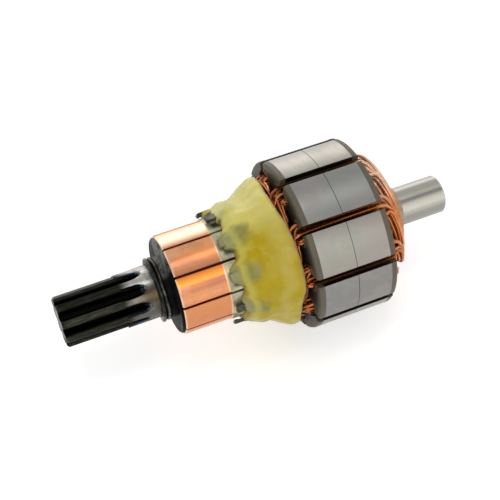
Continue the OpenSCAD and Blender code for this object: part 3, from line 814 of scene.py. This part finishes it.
class CoilRoute:
    """Route of a coil: up one slot as the outer side, over, and back as the inner side.

    A station is [along, radius, angle, tilt, half width below, half width above, half height].
    """

    SPAN = 4 * PITCH
    KNUCKLE = 0.6 * SPAN           # where the outer layer passes under to become the inner
    CHANGEOVER = 0.24 * PITCH      # degrees in which it does so
    BEND_STEPS = 4
    SPIRAL_STEPS = 8
    SLOT_STEPS = 5
    FINE_STEPS = 3
    SLOT_FLOOR = 8.75
    SPLIT_R = 11.8                 # radius between the two sides in a slot
    GAP = 0.25                     # between the two sides, and between the layers
    DOME_CENTRE = 4.0              # radius at which the end turns stand highest
    DOME_OVER = 0.7                # how far the dome's foot lies outside the outer side
    LEAN_IN = 1.0                  # how far the outer side moves inward as it bends
    LEAN_OUT = 0.6                 # how far the inner side moves outward as it bends
    STRAIGHT = 0.25                # how far a side runs on beyond the core before it bends

    def __init__(self, settings):
        below, above = self.SPLIT_R - self.GAP / 2, self.SPLIT_R + self.GAP / 2
        self.outer_r = (COIL_TOP + above) / 2
        self.inner_r = (self.SLOT_FLOOR + below) / 2
        self.outer_side = [1.56, 2.25, (COIL_TOP - above) / 2]
        self.inner_side = [0.5, 1.48, (below - self.SLOT_FLOOR) / 2]
        half = settings.turn_w / MM / 2
        tall = settings.turn_h / MM
        self.turn_side = [half, half, tall / 2]
        self.knuckle_r = settings.knuckle_r / MM
        self.layer = tall + self.GAP
        self.dome_size = (settings.dome_rise / MM,
                          self.outer_r - self.DOME_CENTRE + self.DOME_OVER)

    def dome(self, radius, layer):
        """Height over the core's end and tilt of a layer of the end turns at a radius."""
        rise, reach = (size - layer * self.layer for size in self.dome_size)
        out = radius - self.DOME_CENTRE
        height = rise * math.sqrt(1 - min(1.0, out / reach) ** 2)
        return height, math.degrees(math.atan2(height / rise ** 2, out / reach ** 2))

    def bend(self, side_r, end_r, side, layer):
        """Stations from a slot round to the direction of the end turn."""
        top, tilt = self.dome(end_r, layer)
        bend_r = top - self.STRAIGHT
        stations = []
        for i in range(self.BEND_STEPS + 1):
            t = i / self.BEND_STEPS
            turn = math.pi / 2 * t
            ease = smooth(1.8 * t)
            stations.append([
                top - bend_r + bend_r * math.sin(turn), mix(side_r, end_r, ease),
                math.degrees(bend_r * (1 - math.cos(turn)) / end_r), tilt * smooth(t),
                *(mix(a, b, ease) for a, b in zip(side, self.turn_side))])
        return stations

    def spiral(self, end_r, start, end, layer):
        """Stations inward over the dome, halfway into the other layer at the end."""
        stations = []
        for i in range(1, self.SPIRAL_STEPS + 1):
            t = i / self.SPIRAL_STEPS
            angle = mix(start, end, t)
            radius = mix(end_r, self.knuckle_r, t)
            drop = 0.5 * max(0.0, 1 - (end - angle) / self.CHANGEOVER) ** 1.5
            height, tilt = (mix(own, other, drop) for own, other in zip(
                self.dome(radius, layer), self.dome(radius, 1 - layer)))
            stations.append([height, radius, angle, tilt, *self.turn_side])
        return stations

    def half_turn(self, side_r, end_r, end, side, layer):
        bend = self.bend(side_r, end_r, side, layer)
        return bend + self.spiral(end_r, bend[-1][2], end, layer)

    def end_turn(self, way):
        """Stations from the outer side over the core's end to the inner side."""
        face = CORE_REAR if way > 0 else CORE_FRONT
        outer = self.half_turn(
            self.outer_r, self.outer_r - self.LEAN_IN, self.KNUCKLE, self.outer_side, 0)
        inner = self.half_turn(
            self.inner_r, self.inner_r + self.LEAN_OUT, self.SPAN - self.KNUCKLE,
            self.inner_side, 1)
        turned = [[s[0], s[1], self.SPAN - s[2], *s[3:]] for s in inner[-2::-1]]
        return [[face + way * s[0], s[1], s[2], s[3] * way, *s[4:]] for s in outer + turned]

    def slot_side(self, a, b):
        """Stations along a slot, between the last of one end turn and the first of the next."""
        return [[mix(p, q, step / self.SLOT_STEPS) for p, q in zip(a, b)]
                for step in range(1, self.SLOT_STEPS)]

    def loop(self):
        """All stations, closed, from the outer side's front end round and back to it."""
        rear = self.end_turn(1)
        front = self.end_turn(-1)[::-1]
        out, back = (front[-1], rear[0]), (rear[-1], front[0])
        return self.slot_side(*out) + rear + self.slot_side(*back) + front

    def fine_loop(self):
        """The stations again, closer together, on a smooth curve through them."""
        rough = self.loop()
        count = len(rough)
        fine = []
        for i in range(count):
            before, here, after, beyond = (rough[(i + k) % count] for k in (-1, 0, 1, 2))
            for step in range(self.FINE_STEPS):
                t = step / self.FINE_STEPS
                fine.append([curved(a, b, c, d, t)
                             for a, b, c, d in zip(before, here, after, beyond)])
        return fine


def section_frames(stations):
    """(centre, across, outward, station) at every station, in metres and unit vectors."""
    points = [on_shaft(s[0], s[1], s[2]) for s in stations]
    count = len(points)
    frames = []
    for i, s in enumerate(stations):
        along = (points[(i + 1) % count] - points[i - 1]).normalized()
        tilt, turn = math.radians(s[3]), math.radians(s[2])
        up = Vector((math.sin(tilt), math.cos(tilt) * math.sin(turn),
                     -math.cos(tilt) * math.cos(turn)))
        across = along.cross(up).normalized()
        frames.append((points[i], across, across.cross(along), s))
    return frames


class WireTurns:
    """The even places of a coil's wires, and how each one strays from them."""

    CLIMB = 0.10    # share of the way round in which the wire moves to its next place

    def __init__(self, settings, chance):
        self.radius = settings.wire_d / MM / 2
        self.waver = settings.waver / MM
        self.places = [
            (2 * c / (settings.columns - 1) - 1, 2 * r / (settings.rows - 1) - 1)
            for r in range(settings.rows)
            for c in (range(settings.columns) if r % 2 else reversed(range(settings.columns)))]
        turns = range(len(self.places) + 1)
        self.phases = [[chance.uniform(0, 2 * math.pi) for _ in range(4)] for _ in turns]
        self.tones = [chance.random() for _ in turns]

    def stray(self, turn, share):
        """Sideways and upward stray at a share of the way round."""
        a, b, c, d = self.phases[turn]
        angle = 2 * math.pi * share
        return (self.waver * (math.sin(3 * angle + a) + 0.7 * math.sin(8 * angle + b)),
                self.waver * (math.sin(4 * angle + c) + 0.7 * math.sin(7 * angle + d)))

    def point(self, turn, share, section):
        """Where a turn of the wire runs through a section."""
        centre, across, outward, s = section
        step = smooth((share - 1 + self.CLIMB) / self.CLIMB)
        nearer = min(turn + 1, len(self.places) - 1)
        u, v = (mix(a, b, step) for a, b in zip(self.places[turn], self.places[nearer]))
        now, then = self.stray(turn, share), self.stray(turn + 1, share)
        side, lift = (mix(a, b, step) for a, b in zip(now, then))
        half = mix(s[4], s[5], (v + 1) / 2) - self.radius
        return centre + (across * (u * half + side)
                         + outward * (v * (s[6] - self.radius) + lift)) * MM


LEAD_OFF = 1.3        # how far a lead lies from the middle of its slot
LEAD_STRAY = 0.16
LEAD_STEPS = 6


def lead_route(number, end):
    """A coil's lead: out of its slot, round behind the resin, and under it to a hook."""
    side = (1, -1)[end]
    slot = (number - 1) * PITCH
    bar = (number - 0.5 + end) * PITCH
    overshoot = 0.3 * PITCH * side
    sweep = bar + overshoot - slot
    top, lower, face = COIL_TOP - 0.55, HOOK_R - 0.98, CORE_FRONT - 0.4 * end
    stations = [    # place, radius, and share of the way from the slot to the bar
        (CORE_FRONT + 2.5, top, 0.0), (CORE_FRONT + 0.4, top, 0.0),
        (CORE_FRONT - 0.6, top - 0.15, 0.05), (face - 0.9, top - 0.45, 0.2),
        (face - 1.0, top - 0.7, 0.45), (face - 1.3, top - 0.9, 0.75),
        (CORE_FRONT - 2.6, top - 1.9, 0.92), (HUB_REAR + 3.0, HOOK_R + 0.1, 1.0),
        (HUB_REAR + 0.6, HOOK_R - 0.2, 1.0), (BARS_REAR - 0.4, lower, 1.0),
        (BARS_REAR - 2.6, lower, 1.0)]
    return [(along, radius, slot + sweep * share
             + math.degrees(LEAD_OFF * side / radius) * (1 - share)
             - overshoot * smooth((share - 0.8) / 0.2))
            for along, radius, share in stations]


def lead_line(number, end, chance):
    """A lead as a smooth line of points with one tone."""
    points = [on_shaft(*station) + MM * Vector([
        chance.uniform(-LEAD_STRAY, LEAD_STRAY) for _ in range(3)])
        for station in lead_route(number, end)]
    fine = []
    for i in range(1, len(points) - 2):
        fine += [curved(*points[i - 1:i + 3], step / LEAD_STEPS) for step in range(LEAD_STEPS)]
    return fine, [chance.random()] * len(fine)


def wire_line(number, settings):
    """One coil's wire as a single line of points with a tone for each."""
    chance = random.Random(settings.seed * 100 + number)
    turns = WireTurns(settings, chance)
    sections = section_frames(CoilRoute(settings).fine_loop())
    spin = Matrix.Rotation(math.radians((number - 1) * PITCH), 3, "X")
    line = [(spin @ turns.point(turn, i / len(sections), section), turns.tones[turn])
            for turn in range(len(turns.places)) for i, section in enumerate(sections)]
    bend_end = CoilRoute.BEND_STEPS * CoilRoute.FINE_STEPS
    return list(zip(*line[:-bend_end]))


def wire_mesh(name, lines):
    """A mesh of bare lines whose points carry the tone of their turn."""
    verts, edges, tones = [], [], []
    for points, line_tones in lines:
        start = len(verts)
        verts += points
        edges += [(start + i, start + i + 1) for i in range(len(points) - 1)]
        tones += line_tones
    mesh = bpy.data.meshes.new(name)
    mesh.from_pydata(verts, edges, [])
    tone = mesh.attributes.new("turn_tone", "FLOAT", "POINT")
    tone.data.foreach_set("value", tones)
    return mesh


WIRE_SIDES = 7


def wire_tree():
    """Geometry nodes that turn lines into round wire, and their inputs' identifiers."""
    tree = bpy.data.node_groups.new("Round Wire", "GeometryNodeTree")
    kinds = {"Geometry": "Geometry", "Diameter": "Float", "Sides": "Int",
             "Material": "Material"}
    sockets = {name: tree.interface.new_socket(
        name, in_out="INPUT", socket_type="NodeSocket" + kind).identifier
        for name, kind in kinds.items()}
    tree.interface.new_socket("Geometry", in_out="OUTPUT", socket_type="NodeSocketGeometry")
    g = Graph(tree)
    given = g.add("NodeGroupInput").outputs
    circle = g.add("GeometryNodeCurvePrimitiveCircle", {
        "Resolution": given["Sides"], "Radius": g.times(given["Diameter"], 0.5)}).outputs[0]
    shape = given["Geometry"]
    for kind, inputs in (
            ("MeshToCurve", {}), ("CurveToMesh", {"Profile Curve": circle, "Fill Caps": True}),
            ("SetShadeSmooth", {}), ("RealizeInstances", {}),
            ("SetMaterial", {"Material": given["Material"]})):
        shape = g.add("GeometryNode" + kind, {0: shape, **inputs}).outputs[0]
    g.add("NodeGroupOutput", {"Geometry": shape})
    return tree, sockets


# ---- resin ----

RESIN_AROUND = 480    # sections round the shaft
RESIN_STEPS = 52      # faces along the outside of a section
# How far the resin has run out over each hook, from 0, bare, to 1, covered.
HOOK_COVER = (0.5, 0.9, 0.3, 0.8, 0.2, 0.85, 1.0, 0.5, 0.35, 0.75)
TONGUE_L = 1.9        # length of a full tongue over a hook
TONGUE_SIDES = (17, 14)    # degrees to its slow side and to its steep one
RISER_R = HOOK_R - 1.25
COVER_R = HOOK_R + 1.55
SHOULDER_L = 6.5      # the resin rises from the risers to its cover in this length
SWELL_L = 5.6         # and swells out to its largest radius in this one
FLAT_ANGLE = 131      # where it was smoothed flat
REAR_ANGLE = 238      # one of three angles at which its rear edge lies nearest the core


def about_bar(angle):
    """Number of the bar at an angle, and the angle from that bar's middle."""
    angle %= 360
    number = int(angle // PITCH)
    return number, angle - (number + 0.5) * PITCH


def resin_front(angle, settings):
    """Front edge of the resin, which runs out in a tongue over each hook."""
    number, off = about_bar(angle)
    turn = math.radians(angle)
    side = abs(off) / TONGUE_SIDES[off >= 0]
    tongue = TONGUE_L * HOOK_COVER[number] * (1 - smooth((side - 0.35) / 0.65))
    drift = noise.noise(Vector((3 * math.cos(turn), 3 * math.sin(turn), 1.3)))
    return RESIN_FRONT + settings.scallop / MM - tongue + 0.35 * drift


def resin_rear(angle):
    """Rear edge of the resin, drawn back from the core in three places."""
    turn = math.radians(angle - REAR_ANGLE)
    return RESIN_REAR - 0.1 + 0.6 * math.cos(3 * turn) + 0.14 * math.sin(8 * turn)


def resin_outer(along, angle, settings):
    """Outer radius of the resin: cover, swell, humps over hooks and leads, and lumps."""
    shoulder = smooth((along - RESIN_FRONT + 1.0) / SHOULDER_L)
    swell = smooth((along - RESIN_REAR + 0.8 + SWELL_L) / SWELL_L)
    radius = mix(mix(RISER_R + 0.15, COVER_R, shoulder), RESIN_R - 0.1, swell)
    number, off = about_bar(angle)
    flat = smooth((math.cos(math.radians(angle - FLAT_ANGLE)) - 0.82) / 0.16)
    radius -= 0.65 * flat * shoulder * (1 - swell)
    over_hook = 1 - smooth((abs(off) - 3.6) / 3.6)
    radius += max(0.0, HOOK_R + 0.08 - radius) * over_hook
    hump = math.exp(-(off / 8) ** 2 - ((along - BARS_REAR - 1.6) / 2.1) ** 2)
    radius += settings.lead_hump / MM * hump * (0.6 + 0.4 * HOOK_COVER[number]) * (1 - flat)
    place = on_shaft(along * 0.75, radius, angle) / settings.lump_size
    lump = noise.noise(place) + 0.5 * noise.noise(place * 2.3 + Vector((5, 1, 2)))
    return radius + lump * settings.lumps / MM * smooth((along - RESIN_FRONT + 0.5) / 5)


def resin_section(angle, settings):
    """One closed section of the resin as (place, distances from both edges)."""
    front, rear = resin_front(angle, settings), resin_rear(angle)
    roll = settings.edge_roll / MM
    ring = []
    for k in range(RESIN_STEPS + 1):
        along = mix(front, rear, (k / RESIN_STEPS) ** 1.25)
        edges = (along - front, rear - along)
        near_front, near_rear = (max(0.0, 1 - away / roll) for away in edges)
        radius = mix(RISER_R - 0.02, resin_outer(along, angle, settings),
                     math.sqrt(1 - near_front ** 2))
        ring.append((along, radius - 0.55 * roll * (1 - math.sqrt(1 - near_rear ** 2))))
    lip = ring[-1][1]
    ring += [(rear + 0.05, lip - 0.35), (rear - 0.25, lip - 0.75), (rear - 1.6, lip - 1.4),
             (HUB_REAR + 2.6, HOOK_R + 0.3), (BARS_REAR + 0.1, HOOK_R - 0.6),
             (BARS_REAR - 0.1, RISER_R - 0.2), (front + 0.3, RISER_R - 0.2)]
    return [(on_shaft(a, r, angle), a - front, rear - a) for a, r in ring]


def resin_mesh(name, settings):
    """The resin band as one closed skin."""
    rings = [resin_section(360 * i / RESIN_AROUND, settings) for i in range(RESIN_AROUND)]
    sides = len(rings[0])
    faces = []
    for i in range(RESIN_AROUND):
        j = (i + 1) % RESIN_AROUND
        for k in range(sides):
            m = (k + 1) % sides
            faces.append((i * sides + k, i * sides + m, j * sides + m, j * sides + k))
    mesh = bpy.data.meshes.new(name)
    mesh.from_pydata([p for ring in rings for p, _, _ in ring], [], faces)
    for label, index in (("from_front", 1), ("from_rear", 2)):
        distance = mesh.attributes.new(label, "FLOAT", "POINT")
        distance.data.foreach_set("value", [point[index] for ring in rings for point in ring])
    bm = bmesh.new()
    bm.from_mesh(mesh)
    bmesh.ops.recalc_face_normals(bm, faces=bm.faces)
    bm.to_mesh(mesh)
    bm.free()
    mesh.shade_smooth()
    return mesh


# ---- operators ----

class PieceOperator:
    """Shared by the operators that build pieces."""
    bl_options = {"REGISTER", "UNDO"}

    def execute(self, context):
        self.build(context.scene)
        return {"FINISHED"}


class ARMATURE_OT_shaft(PieceOperator, bpy.types.Operator):
    """Finish the shaft, its pinion and the two washers"""
    bl_idname = "armature.shaft"
    bl_label = "Shaft and washers"

    def build(self, scene):
        looks = scene.armature_finish
        softened_copy("shaft", "pinion_shaft", shaft_steel(looks), 0.06,
                      cutters=run_out_cutters())
        outer = dark_washer("oiled_washer", (0.035, 0.036, 0.034))
        inner = dark_washer("grey_washer", (0.085, 0.085, 0.072))
        softened_copy("spacer_washer_outer", "outer_washer", outer, 0.14,
                      shape=lambda place: bent_rim(place, 0.34, 2.1))
        softened_copy("spacer_washer_inner", "inner_washer", inner, 0.14,
                      shape=lambda place: bent_rim(place, 0.22, 5.3))


class ARMATURE_OT_commutator(PieceOperator, bpy.types.Operator):
    """Finish the commutator's moulding and its copper bars"""
    bl_idname = "armature.commutator"
    bl_label = "Commutator"

    def build(self, scene):
        looks = scene.armature_finish
        softened_copy("commutator_hub", "black_hub", black_moulding(looks), 0.08)
        copper = copper_bar(looks)
        for node in numbered("commutator_bar"):
            softened_copy(node, node.replace("commutator", "copper"), copper, 0.07)


class ARMATURE_OT_core(PieceOperator, bpy.types.Operator):
    """Finish the lamination stacks, the end insulators and the slot liners"""
    bl_idname = "armature.core"
    bl_label = "Laminated core"

    def build(self, scene):
        looks = scene.armature_finish
        steel = ground_steel(looks)
        coating = coated_insulator(looks)
        paper = varnished_paper()
        for end in ("front", "rear"):
            softened_copy(f"core_stack_{end}", f"{end}_stack", steel, 0.05)
            softened_copy(f"end_insulator_{end}", f"{end}_end_plate", coating, 0.12)
        for node in numbered("slot_liner"):
            finish_node(node, paper)


class ARMATURE_OT_windings(PieceOperator, bpy.types.Operator):
    """Wind the ten coils of enamelled wire"""
    bl_idname = "armature.windings"
    bl_label = "Windings"

    def build(self, scene):
        settings = scene.armature_winding
        enamel = enamelled_wire(scene.armature_finish)
        tree, sockets = wire_tree()
        for number, node in enumerate(numbered("coil"), 1):
            name = node.replace("coil", "coil_wire")
            chance = random.Random(settings.seed * 50 + number)
            leads = [lead_line(number, end, chance) for end in (0, 1)]
            mesh = wire_mesh(name, [wire_line(number, settings), *leads])
            piece = new_piece(name, mesh)
            wind = piece.modifiers.new("wire", "NODES")
            wind.node_group = tree
            for label, value in (("Diameter", settings.wire_d), ("Sides", WIRE_SIDES),
                                 ("Material", enamel)):
                wind[sockets[label]] = value
            bake_modifiers(piece)
            settle(piece, [node])


class ARMATURE_OT_sleeves(PieceOperator, bpy.types.Operator):
    """Finish the insulating tubes on the shaft"""
    bl_idname = "armature.sleeves"
    bl_label = "Shaft sleeves"

    def build(self, scene):
        cream = cream_sleeve(scene.armature_finish)
        for end in ("front", "rear"):
            softened_copy(f"shaft_sleeve_{end}", f"{end}_sleeve", cream, 0.08)


class ARMATURE_OT_resin(PieceOperator, bpy.types.Operator):
    """Pour the resin band over the leads"""
    bl_idname = "armature.resin"
    bl_label = "Resin band"

    def build(self, scene):
        mesh = resin_mesh("dipped_resin", scene.armature_resin)
        piece = new_piece("dipped_resin", mesh, dipping_resin(scene.armature_finish))
        settle(piece, ["resin_band"])


class ARMATURE_OT_stage(PieceOperator, bpy.types.Operator):
    """Lay the floor, and set the world, the lamps and the camera"""
    bl_idname = "armature.stage"
    bl_label = "Studio"

    def build(self, scene):
        stage = scene.armature_stage
        scene.view_settings.view_transform = "Standard"
        lay_floor(stage)
        light_world(scene, stage)
        place_lamps(scene)
        place_camera(scene, stage)


def finish_node(node, material):
    """Gives a CAD node a new material; its mesh and place stay as they are."""
    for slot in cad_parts[node].material_slots:
        slot.material = material


# ---- stage ----

WHITE = (1, 1, 1)


def lay_floor(stage):
    """A pale floor that the camera sees nearly white, with the object's shadow kept."""
    half = stage.floor_size / 2
    low = CAD_BOX[0][2]
    mesh = bpy.data.meshes.new("floor")
    mesh.from_pydata([(-half, -half, low), (half, -half, low), (half, half, low),
                      (-half, half, low)], [], [(0, 1, 2, 3)])
    material = bpy.data.materials.new("pale_floor")
    g = Graph(emptied(material))
    path = g.add("ShaderNodeLightPath").outputs
    seen = g.plus(path["Is Camera Ray"], path["Is Glossy Ray"], clamp=True)
    paint = g.add("ShaderNodeBsdfDiffuse", {"Color": (0.86, 0.86, 0.86)}).outputs[0]
    place = g.add("ShaderNodeTexCoord").outputs["Object"]
    far = g.add("ShaderNodeVectorMath", {0: place}, operation="LENGTH").outputs["Value"]
    strength = g.times(seen, g.zone(far, 0.15, 0.5, 0.5, 0.63))
    glow = g.add("ShaderNodeEmission", {"Color": WHITE, "Strength": strength}).outputs[0]
    both = g.add("ShaderNodeAddShader", {0: paint, 1: glow}).outputs[0]
    g.add("ShaderNodeOutputMaterial", {"Surface": both})
    new_piece("floor", mesh, material)


def light_world(scene, stage):
    """White to the camera and in reflections, dimmer overhead, and a plain ambient light."""
    scene.world = bpy.data.worlds.new("studio")
    g = Graph(emptied(scene.world))
    path = g.add("ShaderNodeLightPath").outputs
    direction = g.add("ShaderNodeTexCoord").outputs["Generated"]
    up = g.add("ShaderNodeSeparateXYZ", {"Vector": direction}).outputs["Z"]
    mirrored = g.plus(path["Is Glossy Ray"], path["Is Transmission Ray"], clamp=True)
    lit = g.times(mirrored, g.zone(up, 0.15, 0.85, 1.0, 0.62))
    rest = g.times(g.minus(1.0, mirrored), stage.ambient)
    strength = g.math("MAXIMUM", path["Is Camera Ray"], g.plus(lit, rest))
    sky = g.add("ShaderNodeBackground", {"Color": WHITE, "Strength": strength}).outputs[0]
    g.add("ShaderNodeOutputWorld", {"Surface": sky})


# Each softbox: its name, its place and its two sides in metres, and its power in watts.
SOFTBOXES = (
    ("back_softbox", (0.05, 0.52, 0.16), (0.7, 0.26), 0.92),
    ("front_softbox", (-0.15, -0.43, 0.28), (0.5, 0.2), 0.75),
    ("top_softbox", (-0.02, -0.04, 0.55), (0.35, 0.10), 0.35),
)


def place_lamps(scene):
    """Soft lamps turned to the middle of the armature."""
    aim = (CAD_BOX[0] + CAD_BOX[1]) / 2
    for name, place, sides, power in SOFTBOXES:
        data = bpy.data.lights.new(name, "AREA")
        data.shape = "RECTANGLE"
        data.size, data.size_y = sides
        data.energy = power
        lamp = bpy.data.objects.new(name, data)
        lamp.location = place
        lamp.rotation_euler = (aim - Vector(place)).to_track_quat("-Z", "Y").to_euler()
        scene.collection.objects.link(lamp)


CAMERA_AIM = Vector((-32.2, 1.05, 0.9)) * MM


def place_camera(scene, stage):
    """Looks down at the armature's front, with the pinion nearer."""
    data = bpy.data.cameras.new("camera")
    data.lens = stage.lens
    data.sensor_width = 36
    data.clip_start = 0.01
    camera = bpy.data.objects.new("camera", data)
    turn, pitch = -stage.azimuth, stage.elevation
    ahead = Vector((math.sin(turn) * math.cos(pitch), math.cos(turn) * math.cos(pitch),
                    -math.sin(pitch)))
    level = ahead.cross(Vector((0, 0, 1))).normalized()
    above = level.cross(ahead)
    right = level * math.cos(stage.roll) - above * math.sin(stage.roll)
    top = right.cross(ahead)
    turned = Matrix((right, top, -ahead)).transposed().to_4x4()
    camera.matrix_world = Matrix.Translation(CAMERA_AIM - ahead * stage.distance) @ turned
    scene.collection.objects.link(camera)
    scene.camera = camera


# ---- add-on ----

class ARMATURE_PT_panel(bpy.types.Panel):
    """Settings and build steps of the armature"""
    bl_label = "Motor Armature"
    bl_idname = "ARMATURE_PT_panel"
    bl_space_type = "VIEW_3D"
    bl_region_type = "UI"
    bl_category = "Armature"

    def draw(self, context):
        for name, (_, operators) in SECTIONS.items():
            settings = getattr(context.scene, name)
            box = self.layout.box()
            for key in settings.__annotations__:
                box.prop(settings, key)
            for operator in operators:
                box.operator(operator.bl_idname)


SECTIONS = {
    "armature_finish": (FinishSettings, (
        ARMATURE_OT_shaft, ARMATURE_OT_commutator, ARMATURE_OT_core, ARMATURE_OT_sleeves)),
    "armature_winding": (WindingSettings, (ARMATURE_OT_windings,)),
    "armature_resin": (ResinSettings, (ARMATURE_OT_resin,)),
    "armature_stage": (StageSettings, (ARMATURE_OT_stage,)),
}


def register():
    for name, (settings, operators) in SECTIONS.items():
        for cls in (settings, *operators):
            bpy.utils.register_class(cls)
        setattr(bpy.types.Scene, name, bpy.props.PointerProperty(type=settings))
    bpy.utils.register_class(ARMATURE_PT_panel)


def unregister():
    bpy.utils.unregister_class(ARMATURE_PT_panel)
    for name, (settings, operators) in SECTIONS.items():
        delattr(bpy.types.Scene, name)
        for cls in (*operators, settings):
            bpy.utils.unregister_class(cls)


def main():
    register()
    for step in ("stage", "shaft", "commutator", "core", "windings", "sleeves", "resin"):
        getattr(bpy.ops.armature, step)()


if __name__ == "__main__":
    main()
